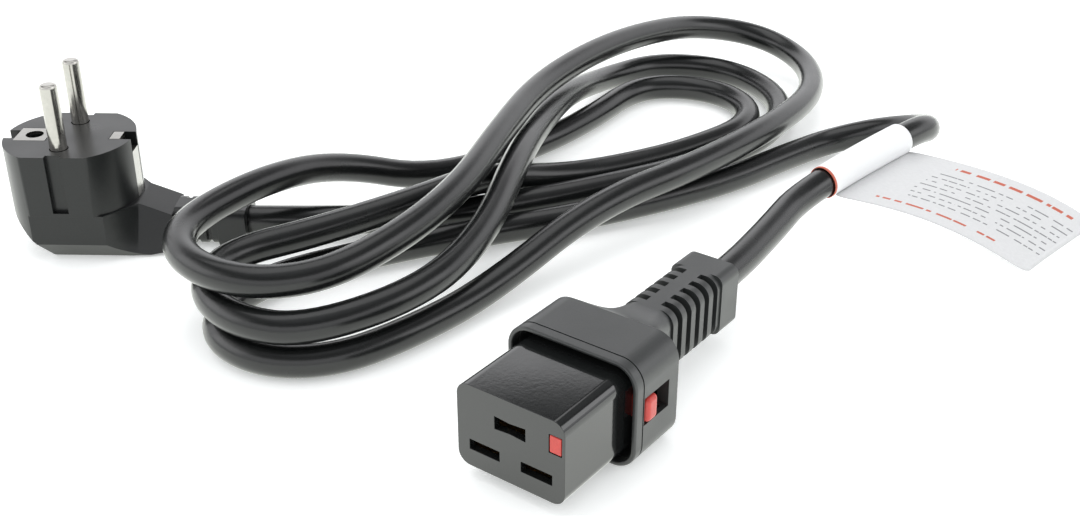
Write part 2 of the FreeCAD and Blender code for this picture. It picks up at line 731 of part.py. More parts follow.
cord_route += [(-136, -57.5, low), (-116, -64, low), (-88, -79, 4.6), (-60, -88.5, 13.2)]
cord_route += [(-32, -92.5, 14.2), (-4, -101.5, 13.8), (20, -112, 13.7), (37, -102.8, 13.7)]
cord_route += [(42.5, -84, 13.7), (35.4, -66.6, 13.7), (4, -56, 14.5), (-28, -62.5, 15.5)]
cord_route += [(-66, -80.5, 19.2), (-97, -95, 16.5), (-126, -106, 14), (-163.5, -116.5, 5)]
cord_route += [(-191, -110, low), (-201, -84, low), (-187, -56, low), (-158, -43.5, low)]
cord_route += [(-120, -51, low), (-86, -67, low), (-54, -87, low), (-37, -101, 4.6)]
cord_route += [plug_point(size("plug_cord_end + plug_cord_straight"), 0, plug_axis)]
cord_route += [plug_point(size("plug_cord_end"), 0, plug_axis)]
cord = add_tube("cord_sheath", cord_route, size("cord_radius"), FreeCAD.Placement())
pieces.append(cord)

# ---------------------------------------------------------------- cord tag
# A sleeve of the folded label round one straight run, its two ends stuck
# together and hanging to the surface.
run_start = FreeCAD.Vector(*cord_route[3])
run_end = FreeCAD.Vector(*cord_route[4])
tag_axis = (run_end - run_start).normalize()
run_middle = (run_start + run_end) * 0.5 + tag_axis * 1.4
tag_out = FreeCAD.Vector(-tag_axis.y, tag_axis.x, 0).normalize() * -1
tag_up = tag_axis.cross(tag_out)
if tag_up.z < 0:
    tag_up = tag_up * -1
tag_start = run_middle - tag_axis * size("tag_width / 2")
sleeve_inner = size("cord_radius + tag_gap")
sleeve_outer = size("cord_radius + tag_gap + tag_sheet")
sleeve = Part.makeCylinder(sleeve_outer, size("tag_width"), tag_start, tag_axis)
sleeve_hole = Part.makeCylinder(sleeve_inner, size("tag_width"), tag_start, tag_axis)


def tag_point(outward, upward):
    lean = tag_axis * size("tag_lean") * outward
    return tag_start + tag_out * outward + tag_up * upward + lean


reach = size("tag_reach")
sag = tag_start.z - 1.0 + tag_axis.z * size("tag_lean") * reach
flag_line = [(sleeve_inner * 0.6, -sleeve_inner * 0.85), (reach * 0.3, -sag * 0.24),
             (reach * 0.62, -sag * 0.5), (reach, -sag)]
upper = [tag_point(outward, level) for outward, level in flag_line]
lower = [tag_point(outward, level - 2 * size("tag_sheet")) for outward, level in flag_line]
outline = upper + lower[::-1]
flag_face = Part.Face(Part.makePolygon(outline + [outline[0]]))
flag = flag_face.extrude(tag_axis * size("tag_width"))
tag = document.addObject("Part::Feature", "cord_tag")
tag.Label = "cord_tag"
tag.Shape = sleeve.fuse(flag).cut(sleeve_hole).removeSplitter()
pieces.append(tag)

# ---------------------------------------------------------------- plug body
plug = new_body("plug_body", plug_place)
# foot under the round head, as wide as its flats and narrowing to the neck
section = new_sketch(plug, "XY_Plane", "0", "foot_circle")
draw_circle(section, "0", "0", "plug_radius")
add_pad(plug, section, "plug_ledge")
section = new_sketch(plug, "XY_Plane", "0", "foot_plan")
draw_rectangle(section, "0", "plug_radius * 0.62", "-block_width / 2", "block_width / 2")
add_pad(plug, section, "plug_ledge")
section = new_sketch(plug, "XY_Plane", "plug_ledge", "foot_flats")
for way in ("", "-"):
    draw_rectangle(section, "-plug_radius", "plug_radius", way + "block_width / 2",
                   way + "plug_radius + %s1" % (way or "+"))
add_pocket(plug, section, "plug_ledge")
# the foot runs out into a neck with leaning sides that carries the relief
neck_rows = [
    ("plug_radius * 0.62", "block_width", "block_width", "plug_ledge"),
    ("plug_radius * 1.04", "(block_width + plug_neck_foot_width) / 2", "plug_neck_top_width",
     "plug_ledge"),
    ("plug_neck_start", "plug_neck_foot_width", "plug_neck_top_width", "plug_neck_high"),
]
necks = []
for along, foot_width, top_width, top in neck_rows:
    neck = new_sketch(plug, "YZ_Plane", along, "neck")
    draw_polygon(neck, [
        ("-(%s) / 2" % foot_width, "0"), ("(%s) / 2" % foot_width, "0"),
        ("(%s) / 2" % top_width, top), ("-(%s) / 2" % top_width, top),
    ])
    necks.append(neck)
add_loft(plug, "AdditiveLoft", necks, straight=True)
# the back of the foot slants up to the head, and its front end is cut back
section = new_sketch(plug, "XZ_Plane", "0", "foot_slant")
draw_polygon(section, [
    ("-plug_radius - 1", "-1"), ("-plug_radius * 0.27", "-1"), ("-plug_radius * 0.3", "0"),
    ("-plug_radius / 2", "plug_ledge * 0.39"), ("-plug_radius", "plug_ledge - 0.6"),
    ("-plug_radius - 1", "plug_ledge - 0.6"),
])
draw_polygon(section, [
    ("plug_radius * 0.93", "0"), ("plug_radius * 0.93", "-1"), ("plug_neck_start + 1", "-1"),
    ("plug_neck_start + 1", "plug_neck_low"),
])
add_pocket(plug, section, "plug_radius * 3", both_ways=True)
# cut-back lower edges on both sides
section = new_sketch(plug, "YZ_Plane", "-plug_radius", "lower_edges")
for way in ("", "-"):
    draw_polygon(section, [
        (way + "block_width / 2 - %sblock_chamfer_width" % (way or "+"), "0"),
        (way + "block_width / 2 + %s1" % (way or "+"), "0"),
        (way + "block_width / 2 + %s1" % (way or "+"), "block_chamfer_height"),
        (way + "block_width / 2", "block_chamfer_height"),
    ])
add_pocket(plug, section, "plug_radius + plug_neck_start", forwards=True)
# round head with a flat and a guide groove at each end of the pin line
section = new_sketch(plug, "XY_Plane", "plug_ledge", "head_circle")
draw_circle(section, "0", "0", "plug_radius")
add_pad(plug, section, "plug_face - plug_ledge")
section = new_sketch(plug, "XY_Plane", "plug_face", "flats")
for way in ("", "-"):
    draw_rectangle(section, "-plug_radius", "plug_radius", way + "plug_flat",
                   way + "plug_radius + %s1" % (way or "+"))
add_pocket(plug, section, "plug_face - plug_ledge")
section = new_sketch(plug, "XY_Plane", "plug_face", "guide_grooves")
for way in ("", "-"):
    draw_rectangle(section, "-guide_width / 2", "guide_width / 2",
                   "%splug_flat - %sguide_depth" % (way, way or "+"),
                   way + "plug_radius + %s1" % (way or "+"))
add_pocket(plug, section, "guide_length")
# strain relief of the plug
section = new_sketch(plug, "YZ_Plane", "plug_neck_start", "plug_relief")
draw_rounded(section, "plug_relief_width", "plug_relief_height", "neck_corner", "plug_axis")
add_pad(plug, section, "plug_collar_start - plug_neck_start")
section = new_sketch(plug, "YZ_Plane", "plug_collar_start", "plug_collar")
draw_rounded(section, "plug_collar_width", "plug_collar_height", "collar_corner", "plug_axis")
add_pad(plug, section, "plug_relief_end - plug_collar_start")
slot_sketch = rib_slots(
    plug, "plug_rib_start + plug_rib_width", "plug_relief_width", "plug_axis"
)
slot = add_pocket(plug, slot_sketch, "plug_rib_width")
repeat_along(plug, slot, slot_sketch, "plug_rib_pitch", "plug_rib_count", flipped=False)
# hollow for the bridge, chamber for the cores, way of the cord
section = new_sketch(plug, "XY_Plane", "bridge_floor", "bridge_pocket")
draw_circle(section, "0", "0", "bridge_radius + fit_gap")
add_pocket(plug, section, "plug_face - plug_skin - bridge_floor", forwards=True)
section = new_sketch(plug, "XY_Plane", "bridge_floor", "chamber")
draw_rectangle(section, "-plug_radius * 0.27", "plug_radius * 0.72",
               "-pin_spacing / 2 - pin_stub_radius", "pin_spacing / 2 + pin_stub_radius")
add_pocket(plug, section, "bridge_floor - plug_axis + cord_radius")
section = new_sketch(plug, "YZ_Plane", "plug_radius / 2", "core_tunnel")
draw_circle(section, "0", "plug_axis", "cord_radius * 0.825")
add_pocket(plug, section, "plug_cord_end - plug_radius / 2", forwards=True)
section = new_sketch(plug, "YZ_Plane", "plug_cord_end", "cord_bore")
draw_circle(section, "0", "plug_axis", "cord_radius + cord_gap")
add_pocket(plug, section, "plug_relief_end - plug_cord_end", forwards=True)
# holes in the face for the pins and for an earth pin, notches for the strip
section = new_sketch(plug, "XY_Plane", "plug_face", "pin_holes")
for way in ("", "-"):
    draw_circle(section, "0", way + "pin_spacing / 2", "pin_radius + fit_gap")
draw_circle(section, "-earth_hole_offset", "0", "earth_hole_radius")
add_pocket(plug, section, "plug_skin")
section = new_sketch(plug, "XY_Plane", "plug_face", "strip_notches")
for way in ("", "-"):
    draw_rectangle(section, way + "strip_half - %sstrip_sheet" % (way or "+"),
                   way + "plug_radius + %s1" % (way or "+"),
                   "-strip_width / 2 - fit_gap", "strip_width / 2 + fit_gap")
add_pocket(plug, section, "plug_face - bridge_floor + strip_sheet")
section = new_sketch(plug, "XY_Plane", "plug_face", "strip_steps")
for way in ("", "-"):
    draw_rectangle(section, way + "strip_step - %sstrip_sheet" % (way or "+"),
                   way + "strip_half", "-strip_width / 2 - fit_gap",
                   "strip_width / 2 + fit_gap")
add_pocket(plug, section, "plug_face - strip_step_level + strip_sheet")
section = new_sketch(plug, "XZ_Plane", "0", "strip_channel")
draw_rectangle(section, "-strip_half", "strip_half", "bridge_floor - strip_sheet",
               "bridge_floor")
add_pocket(plug, section, "strip_width + 2 * fit_gap", both_ways=True)
section = new_sketch(plug, "XY_Plane", "plug_face", "plate_recess")
draw_rectangle(section, "-strip_step", "-earth_hole_offset + 4.4",
               "-earth_plate_width / 2 - fit_gap", "earth_plate_width / 2 + fit_gap")
draw_rectangle(section, "right_plate_end - fit_gap", "strip_step",
               "-strip_width / 2 - fit_gap", "strip_width / 2 + fit_gap")
add_pocket(plug, section, "strip_sheet")
pieces.append(plug)

# ---------------------------------------------------------------- plug bridge
bridge = new_body("plug_bridge", plug_place)
section = new_sketch(bridge, "XY_Plane", "bridge_floor", "bridge_section")
draw_circle(section, "0", "0", "bridge_radius")
add_pad(bridge, section, "plug_face - plug_skin - bridge_floor")
section = new_sketch(bridge, "XY_Plane", "plug_face - plug_skin", "bridge_holes")
for way in ("", "-"):
    draw_circle(section, "0", way + "pin_spacing / 2", "pin_radius + fit_gap")
add_pocket(bridge, section, "plug_face")
section = new_sketch(bridge, "XY_Plane", "bridge_floor", "head_seats")
for way in ("", "-"):
    draw_circle(section, "0", way + "pin_spacing / 2", "pin_head_radius + fit_gap")
add_pocket(bridge, section, "pin_head_height", forwards=True)
section = new_sketch(bridge, "XY_Plane", "plug_face - plug_skin", "earth_socket")
draw_circle(section, "-earth_hole_offset", "0", "earth_hole_radius")
add_pocket(bridge, section, "plug_face - plug_skin - bridge_floor - 1.5")
pieces.append(bridge)

# ---------------------------------------------------------------- plug pins
for label, way in (("plug_line_pin", "-"), ("plug_neutral_pin", "")):
    pin = new_body(label, plug_place)
    centre = way + "pin_spacing / 2"
    section = new_sketch(pin, "YZ_Plane", "0", "pin_profile")
    far = "%s %s" % (centre, way or "+")
    draw_polygon(section, [
        (centre, "bridge_floor - pin_stub_length"),
        (far + " pin_stub_radius", "bridge_floor - pin_stub_length"),
        (far + " pin_stub_radius", "bridge_floor"),
        (far + " pin_head_radius", "bridge_floor"),
        (far + " pin_head_radius", "bridge_floor + pin_head_height"),
        (far + " pin_shank_radius", "bridge_floor + pin_head_height"),
        (far + " pin_shank_radius", "plug_face"),
        (far + " pin_radius", "plug_face"),
        (far + " pin_radius", "plug_face + pin_reach - pin_tip"),
        (far + " (pin_radius - pin_tip * 0.3)", "plug_face + pin_reach - pin_tip * 0.3"),
        (far + " (pin_radius - pin_tip)", "plug_face + pin_reach"),
        (centre, "plug_face + pin_reach"),
    ])
    axis_line = section.addGeometry(
        Part.LineSegment(
            FreeCAD.Vector(size(centre), 0, 0), FreeCAD.Vector(size(centre), size("pin_reach"), 0)
        ),
        True,
    )
    section.addConstraint(Sketcher.Constraint("Vertical", axis_line))
    fix_point(section, axis_line, 1, centre, "0")
    measure(section, "DistanceY", (axis_line, 1, axis_line, 2), "pin_reach")
    turned = pin.newObject("PartDesign::Revolution", "turned")
    turned.Profile = section
    turned.ReferenceAxis = (section, ["Axis0"])
    turned.Angle = 360
    document.recompute()
    pieces.append(pin)

# ---------------------------------------------------------------- earth strip
strip_base = new_box("strip_base", "2 * strip_half", "strip_width", "strip_sheet",
                     x="-strip_half", y="-strip_width / 2", z="bridge_floor - strip_sheet")
leg_height = "strip_step_level - bridge_floor + strip_sheet"
rise_height = "plug_face - strip_step_level + strip_sheet"
strip_parts = [strip_base]
for side_name, leg, step, rise in (
    ("left", "-strip_half", "-strip_half", "-strip_step"),
    ("right", "strip_half - strip_sheet", "strip_step - strip_sheet",
     "strip_step - strip_sheet"),
):
    strip_parts.append(
        new_box(side_name + "_leg", "strip_sheet", "strip_width", leg_height,
                x=leg, y="-strip_width / 2", z="bridge_floor - strip_sheet"))
    strip_parts.append(
        new_box(side_name + "_step", "strip_half - strip_step + strip_sheet", "strip_width",
                "strip_sheet", x=step, y="-strip_width / 2",
                z="strip_step_level - strip_sheet"))
    strip_parts.append(
        new_box(side_name + "_rise", "strip_sheet", "strip_width", rise_height,
                x=rise, y="-strip_width / 2", z="strip_step_level - strip_sheet"))
strip_parts.append(
    new_box("left_plate", "strip_step - earth_hole_offset + 4.2", "earth_plate_width",
            "strip_sheet", x="-strip_step", y="-earth_plate_width / 2",
            z="plug_face - strip_sheet"))
strip_parts.append(
    new_box("right_plate", "strip_step - right_plate_end", "strip_width", "strip_sheet",
            x="right_plate_end", y="-strip_width / 2", z="plug_face - strip_sheet"))
earth_hole = new_rod("earth_hole", "earth_hole_radius", "strip_sheet + 2", "z",
                     x="-earth_hole_offset", z="plug_face - strip_sheet - 1")
strip_whole = join("strip_whole", strip_parts)
strip = cut_away("earth_strip", strip_whole, [earth_hole])
strip.Label = "earth_strip"
strip.Placement = plug_place
pieces.append(strip)

# ---------------------------------------------------------------- plug cores
half_pins = size("pin_spacing / 2")
stub_end = size("bridge_floor - pin_stub_length")
core_floor = plug_axis - 2.3
cord_end = size("plug_cord_end")
plug_core_rows = [
    ("plug_line_core", [(0, -half_pins, stub_end), (0, -half_pins, core_floor),
                        (9, -side, plug_axis - down), (cord_end, -side, plug_axis - down)]),
    ("plug_neutral_core", [(0, half_pins, stub_end), (0, half_pins, core_floor),
                           (9, side, plug_axis - down), (cord_end, side, plug_axis - down)]),
    ("plug_earth_core", [(-3, 0, size("bridge_floor - strip_sheet")),
                         (-3, 0, core_floor + 1.3), (2, 0, core_floor + 1.3),
                         (8, 0, plug_axis + up), (cord_end, 0, plug_axis + up)]),
]
for label, core_route in plug_core_rows:
    pieces.append(add_tube(label, core_route, size("core_radius"), plug_place))

# ---------------------------------------------------------------- checks, export
document.recompute()
for item in document.Objects:
    if "Invalid" in item.State or "Error" in item.State:
        raise ValueError("%s: %s" % (item.Label, item.State))
for item in pieces:
    shape = item.Shape
    if shape.isNull() or not shape.isValid():
        raise ValueError("%s has no valid shape" % item.Label)
    box = shape.BoundBox
    print("%-18s solids %d volume %9.1f  x %.1f..%.1f y %.1f..%.1f z %.1f..%.1f" % (
        item.Label, len(shape.Solids), shape.Volume, box.XMin, box.XMax,
        box.YMin, box.YMax, box.ZMin, box.ZMax))
    shape.exportStep("parts/%s.step" % item.Label)
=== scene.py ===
import math

import bmesh
import bpy
from mathutils import Matrix, Vector


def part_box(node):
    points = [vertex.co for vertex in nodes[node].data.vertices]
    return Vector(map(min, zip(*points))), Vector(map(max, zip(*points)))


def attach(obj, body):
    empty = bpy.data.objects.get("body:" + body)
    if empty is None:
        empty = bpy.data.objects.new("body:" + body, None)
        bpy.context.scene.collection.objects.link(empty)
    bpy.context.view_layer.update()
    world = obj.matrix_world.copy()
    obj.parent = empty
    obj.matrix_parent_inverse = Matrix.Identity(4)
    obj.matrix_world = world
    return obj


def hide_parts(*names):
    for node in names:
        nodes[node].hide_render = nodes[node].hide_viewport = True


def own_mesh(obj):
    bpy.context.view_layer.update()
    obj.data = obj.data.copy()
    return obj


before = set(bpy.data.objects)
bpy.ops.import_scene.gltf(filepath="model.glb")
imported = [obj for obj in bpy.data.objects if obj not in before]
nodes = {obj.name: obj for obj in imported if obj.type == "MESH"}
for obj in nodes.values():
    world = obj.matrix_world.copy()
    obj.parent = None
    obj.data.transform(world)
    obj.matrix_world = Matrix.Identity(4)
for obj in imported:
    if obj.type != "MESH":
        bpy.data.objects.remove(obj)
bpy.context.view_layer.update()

# ---------------------------------------------------------------- the table and the light
# A pale plain table top under the part, a large soft light overhead and two
# weaker ones from the sides, and the camera that looks along the hank.
table_half_side = 6.0
table_gap = 0.0002
floor_mesh = bpy.data.meshes.new("table_top")
floor_form = bmesh.new()
bmesh.ops.create_grid(floor_form, x_segments=1, y_segments=1, size=table_half_side)
floor_form.to_mesh(floor_mesh)
floor_form.free()
floor = bpy.data.objects.new("table_top", floor_mesh)
bpy.context.scene.collection.objects.link(floor)
floor.location.z = -table_gap
floor_finish = bpy.data.materials.new("table_finish")
floor_finish.use_nodes = True
floor_shader = floor_finish.node_tree.nodes["Principled BSDF"]
floor_shader.inputs["Base Color"].default_value = (0.93, 0.935, 0.93, 1)
floor_shader.inputs["Roughness"].default_value = 0.6
floor_shader.inputs["Emission Color"].default_value = (0.98, 1.0, 0.99, 1)
floor_shader.inputs["Emission Strength"].default_value = 0.35
floor_tree = floor_finish.node_tree
floor_rays = floor_tree.nodes.new("ShaderNodeLightPath")
mirror_glow = floor_tree.nodes.new("ShaderNodeEmission")
mirror_glow.inputs["Color"].default_value = (0.64, 0.672, 0.595, 1)
floor_tree.links.new(floor_rays.outputs["Is Glossy Ray"], mirror_glow.inputs["Strength"])
floor_sum = floor_tree.nodes.new("ShaderNodeAddShader")
floor_tree.links.new(floor_shader.outputs[0], floor_sum.inputs[0])
floor_tree.links.new(mirror_glow.outputs[0], floor_sum.inputs[1])
floor_tree.links.new(floor_sum.outputs[0], floor_tree.nodes["Material Output"].inputs[0])
floor_mesh.materials.append(floor_finish)

# The room lights the table evenly, but what the mouldings mirror is a bright
# band above the horizon with darker parts of a studio over it.
surroundings = bpy.data.worlds.new("studio")
surroundings.use_nodes = True
room = surroundings.node_tree
background = room.nodes["Background"]
background.inputs["Color"].default_value = (0.97, 0.985, 1.0, 1)
background.inputs["Strength"].default_value = 0.95
mirrored = room.nodes.new("ShaderNodeBackground")
direction = room.nodes.new("ShaderNodeTexCoord")
direction_parts = room.nodes.new("ShaderNodeSeparateXYZ")
room.links.new(direction.outputs["Generated"], direction_parts.inputs[0])
bands = room.nodes.new("ShaderNodeValToRGB")
bands.color_ramp.interpolation = "LINEAR"
lowest, highest = bands.color_ramp.elements
lowest.position = 0.0
lowest.color = (0.55, 0.56, 0.57, 1)
highest.position = 1.0
highest.color = (0.42, 0.43, 0.44, 1)
blue_cast = 1.02
band_levels = ((0.30, 0.95), (0.549, 1.0), (0.557, 0.06), (0.61, 0.06), (0.68, 0.13),
               (0.80, 0.15))
for height, level in band_levels:
    step = bands.color_ramp.elements.new(height)
    step.color = (level, level, level * blue_cast, 1)
room.links.new(direction_parts.outputs[2], bands.inputs[0])
room.links.new(bands.outputs[0], mirrored.inputs["Color"])
mirrored.inputs["Strength"].default_value = 1.9
rays = room.nodes.new("ShaderNodeLightPath")
chosen = room.nodes.new("ShaderNodeMixShader")
room.links.new(rays.outputs["Is Glossy Ray"], chosen.inputs[0])
room.links.new(background.outputs[0], chosen.inputs[1])
room.links.new(mirrored.outputs[0], chosen.inputs[2])
room.links.new(chosen.outputs[0], room.nodes["World Output"].inputs[0])
bpy.context.scene.world = surroundings
bpy.context.scene.view_settings.view_transform = "Standard"


def soft_light(name, place, target, width, height, power):
    """Rectangular lamp at a place, turned to a target."""
    lamp = bpy.data.lights.new(name, "AREA")
    lamp.shape = "RECTANGLE"
    lamp.size = width
    lamp.size_y = height
    lamp.energy = power
    holder = bpy.data.objects.new(name, lamp)
    bpy.context.scene.collection.objects.link(holder)
    holder.location = place
    aim = Vector(target) - Vector(place)
    holder.rotation_euler = aim.to_track_quat("-Z", "Y").to_euler()


hank_middle = (-0.08, -0.06, 0.0)
soft_light("overhead", (-0.25, -0.35, 1.0), hank_middle, width=1.1, height=0.8, power=3.6)
soft_light("left_side", (0.55, -0.75, 0.45), hank_middle, width=0.7, height=0.6, power=1.2)
soft_light("right_side", (-0.5, 0.75, 0.5), hank_middle, width=0.6, height=0.5, power=1.0)

camera_data = bpy.data.cameras.new("camera")
camera_data.sensor_fit = "HORIZONTAL"
camera_data.sensor_width = 36.0
camera_data.lens = 46.67
camera_data.clip_start = 0.01
camera = bpy.data.objects.new("camera", camera_data)
bpy.context.scene.collection.objects.link(camera)
camera_place = (0.23267, 0.14966, 0.190)
sight = Vector((-0.7054, -0.5241, -0.4772)).normalized()
rightward = Vector((-0.5964, 0.8027, 0.0)).normalized()
upward = rightward.cross(sight)
camera_turn = Matrix((rightward, upward, -sight)).transposed().to_4x4()
camera.matrix_world = Matrix.Translation(camera_place) @ camera_turn
bpy.context.scene.camera = camera

# ---------------------------------------------------------------- contact block
# The block with the slotted face is one moulding of hard black nylon, from a
# polished mould, so it shines more than the grip. Its rear cap and the plug's
# bridge are of the same nylon.


def grain_group():
    """Fine grain of a mould for a Bump node, and a slow change of gloss."""
    group = bpy.data.node_groups.new("mould_grain", "ShaderNodeTree")
    for way, labels in (("INPUT", ("Grain size", "Roughness", "Spread")),
                        ("OUTPUT", ("Height", "Roughness"))):
        for label in labels:
            group.interface.new_socket(label, in_out=way, socket_type="NodeSocketFloat")
    tree = group.nodes
    link = group.links.new
    entry = tree.new("NodeGroupInput")
    leave = tree.new("NodeGroupOutput")
    place = tree.new("ShaderNodeTexCoord")
    fine = tree.new("ShaderNodeTexNoise")
    fine.inputs["Detail"].default_value = 3.0
    link(place.outputs["Object"], fine.inputs["Vector"])
    link(entry.outputs["Grain size"], fine.inputs["Scale"])
    link(fine.outputs["Fac"], leave.inputs["Height"])
    slow = tree.new("ShaderNodeTexNoise")
    slow.inputs["Scale"].default_value = 90.0
    slow.inputs["Detail"].default_value = 2.0
    link(place.outputs["Object"], slow.inputs["Vector"])
    noise_middle = 0.5
    centred = tree.new("ShaderNodeMath")
    centred.operation = "SUBTRACT"
    centred.inputs[1].default_value = noise_middle
    link(slow.outputs["Fac"], centred.inputs[0])
    spread = tree.new("ShaderNodeMath")
    spread.operation = "MULTIPLY_ADD"
    link(centred.outputs[0], spread.inputs[0])
    link(entry.outputs["Spread"], spread.inputs[1])
    link(entry.outputs["Roughness"], spread.inputs[2])
    link(spread.outputs[0], leave.inputs["Roughness"])
    return group


mould_grain = grain_group()


def mixed(tree, amount, first, second):
    """Colour between two, which are sockets or colours, by an amount from 0 to 1."""
    node = tree.nodes.new("ShaderNodeMix")
    node.data_type = "RGBA"
    amount_place, first_place, second_place, colour_out = 0, 6, 7, 2
    tree.links.new(amount, node.inputs[amount_place])
    for place, value in ((first_place, first), (second_place, second)):
        if hasattr(value, "links"):
            tree.links.new(value, node.inputs[place])
        else:
            node.inputs[place].default_value = (*value, 1)
    return node.outputs[colour_out]


def moulded(name, dark, light, roughness, spread, grain, depth, metallic=0.0, mirror=0.5):
    """Finish with grain, uneven gloss and a slight change of shade."""
    finish = bpy.data.materials.new(name)
    finish.use_nodes = True
    tree = finish.node_tree.nodes
    link = finish.node_tree.links.new
    shader = tree["Principled BSDF"]
    shader.inputs["Metallic"].default_value = metallic
    shader.inputs["Specular IOR Level"].default_value = mirror
    effect = tree.new("ShaderNodeGroup")
    effect.node_tree = mould_grain
    effect.inputs["Grain size"].default_value = grain
    effect.inputs["Roughness"].default_value = roughness
    effect.inputs["Spread"].default_value = spread
    link(effect.outputs["Roughness"], shader.inputs["Roughness"])
    bump = tree.new("ShaderNodeBump")
    bump.inputs["Strength"].default_value = 0.35
    bump.inputs["Distance"].default_value = depth
    link(effect.outputs["Height"], bump.inputs["Height"])
    link(bump.outputs["Normal"], shader.inputs["Normal"])
    shade = mixed(finish.node_tree, effect.outputs["Height"], dark, light)
    link(shade, shader.inputs["Base Color"])
    return finish


def softened(name, finish, width, segments=2, round_off=None, round_width=0.0):
    """Copy of a CAD node with its edges rounded as a mould leaves them."""
    copy = bpy.data.objects.new(name + "_skin", nodes[name].data.copy())
    bpy.context.scene.collection.objects.link(copy)
    copy.data.materials.clear()
    copy.data.materials.append(finish)
    weld = 0.000002
    flat_angle = math.radians(0.6)
    sharp_angle = math.radians(32)
    form = bmesh.new()
    form.from_mesh(copy.data)
    bmesh.ops.remove_doubles(form, verts=form.verts, dist=weld)
    bmesh.ops.dissolve_limit(
        form, angle_limit=flat_angle, verts=form.verts, edges=form.edges
    )
    if round_off:
        bmesh.ops.bevel(
            form, geom=round_off(form), offset=round_width, segments=5, profile=0.5,
            affect="EDGES", clamp_overlap=True,
        )
        bmesh.ops.remove_doubles(form, verts=form.verts, dist=weld)
    for face in form.faces:
        face.smooth = True
    form.to_mesh(copy.data)
    form.free()
    rounding = copy.modifiers.new("rounding", "BEVEL")
    rounding.limit_method = "ANGLE"
    rounding.angle_limit = sharp_angle
    rounding.width = width
    rounding.segments = segments
    rounding.face_strength_mode = "FSTR_ALL"
    evening = copy.modifiers.new("evening", "WEIGHTED_NORMAL")
    evening.weight = 100
    evening.use_face_influence = True
    evaluated = copy.evaluated_get(bpy.context.evaluated_depsgraph_get())
    mesh = bpy.data.meshes.new_from_object(evaluated)
    copy.modifiers.clear()
    copy.data = mesh
    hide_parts(name)
    return copy


def dress(names, finish):
    """Put a finish on the CAD nodes of those names."""
    for name in names:
        mesh = nodes[name].data
        mesh.materials.clear()
        mesh.materials.append(finish)


nylon = moulded(
    "black_nylon_finish", dark=(0.008, 0.009, 0.009), light=(0.013, 0.014, 0.014),
    roughness=0.085, spread=0.08, grain=1100, depth=0.000012, mirror=0.62,
)
skin = softened("contact_block", nylon, width=0.00035)
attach(skin, "connector")
dress(["rear_cap", "plug_bridge"], nylon)

# ---------------------------------------------------------------- contacts, lock plate, spring
# Folded brass contacts crimped to the cores, and the steel plate of the lock.
# The coil behind it is round spring wire in five turns, which pushes the slider
# forwards.
brass = moulded(
    "contact_brass_finish", dark=(0.30, 0.21, 0.10), light=(0.42, 0.31, 0.15),
    roughness=0.34, spread=0.2, grain=900, depth=0.00001, metallic=1.0,
)
dress(["line_contact", "neutral_contact", "earth_contact"], brass)
steel = moulded(
    "spring_steel_finish", dark=(0.42, 0.42, 0.43), light=(0.56, 0.56, 0.57),
    roughness=0.30, spread=0.2, grain=1200, depth=0.00001, metallic=1.0,
)
dress(["lock_plate"], steel)


def coil_group():
    """Wire wound into a round coil that runs backwards from its front end."""
    group = bpy.data.node_groups.new("wound_wire", "GeometryNodeTree")
    group.interface.new_socket("Geometry", in_out="INPUT", socket_type="NodeSocketGeometry")
    for label, kind in (("Turns", "Float"), ("Coil radius", "Float"), ("Length", "Float"),
                        ("Wire radius", "Float"), ("Front", "Vector"), ("Finish", "Material")):
        group.interface.new_socket(label, in_out="INPUT", socket_type="NodeSocket" + kind)
    group.interface.new_socket("Geometry", in_out="OUTPUT", socket_type="NodeSocketGeometry")
    tree = group.nodes
    link = group.links.new
    entry = tree.new("NodeGroupInput")
    leave = tree.new("NodeGroupOutput")
    points_per_turn = 28
    wire_sides = 10
    winding = tree.new("GeometryNodeCurveSpiral")
    winding.inputs["Resolution"].default_value = points_per_turn
    winding.inputs["Reverse"].default_value = True
    link(entry.outputs["Turns"], winding.inputs["Rotations"])
    link(entry.outputs["Coil radius"], winding.inputs["Start Radius"])
    link(entry.outputs["Coil radius"], winding.inputs["End Radius"])
    link(entry.outputs["Length"], winding.inputs["Height"])
    laid = tree.new("GeometryNodeTransform")
    laid.inputs["Rotation"].default_value = (0, math.radians(-90), 0)
    link(winding.outputs[0], laid.inputs["Geometry"])
    link(entry.outputs["Front"], laid.inputs["Translation"])
    wire = tree.new("GeometryNodeCurvePrimitiveCircle")
    wire.inputs["Resolution"].default_value = wire_sides
    link(entry.outputs["Wire radius"], wire.inputs["Radius"])
    drawn = tree.new("GeometryNodeCurveToMesh")
    drawn.inputs["Fill Caps"].default_value = True
    link(laid.outputs[0], drawn.inputs["Curve"])
    link(wire.outputs["Curve"], drawn.inputs["Profile Curve"])
    solid = tree.new("GeometryNodeRealizeInstances")
    link(drawn.outputs[0], solid.inputs[0])
    finished = tree.new("GeometryNodeSetMaterial")
    link(solid.outputs[0], finished.inputs["Geometry"])
    link(entry.outputs["Finish"], finished.inputs["Material"])
    link(finished.outputs[0], leave.inputs[0])
    return group


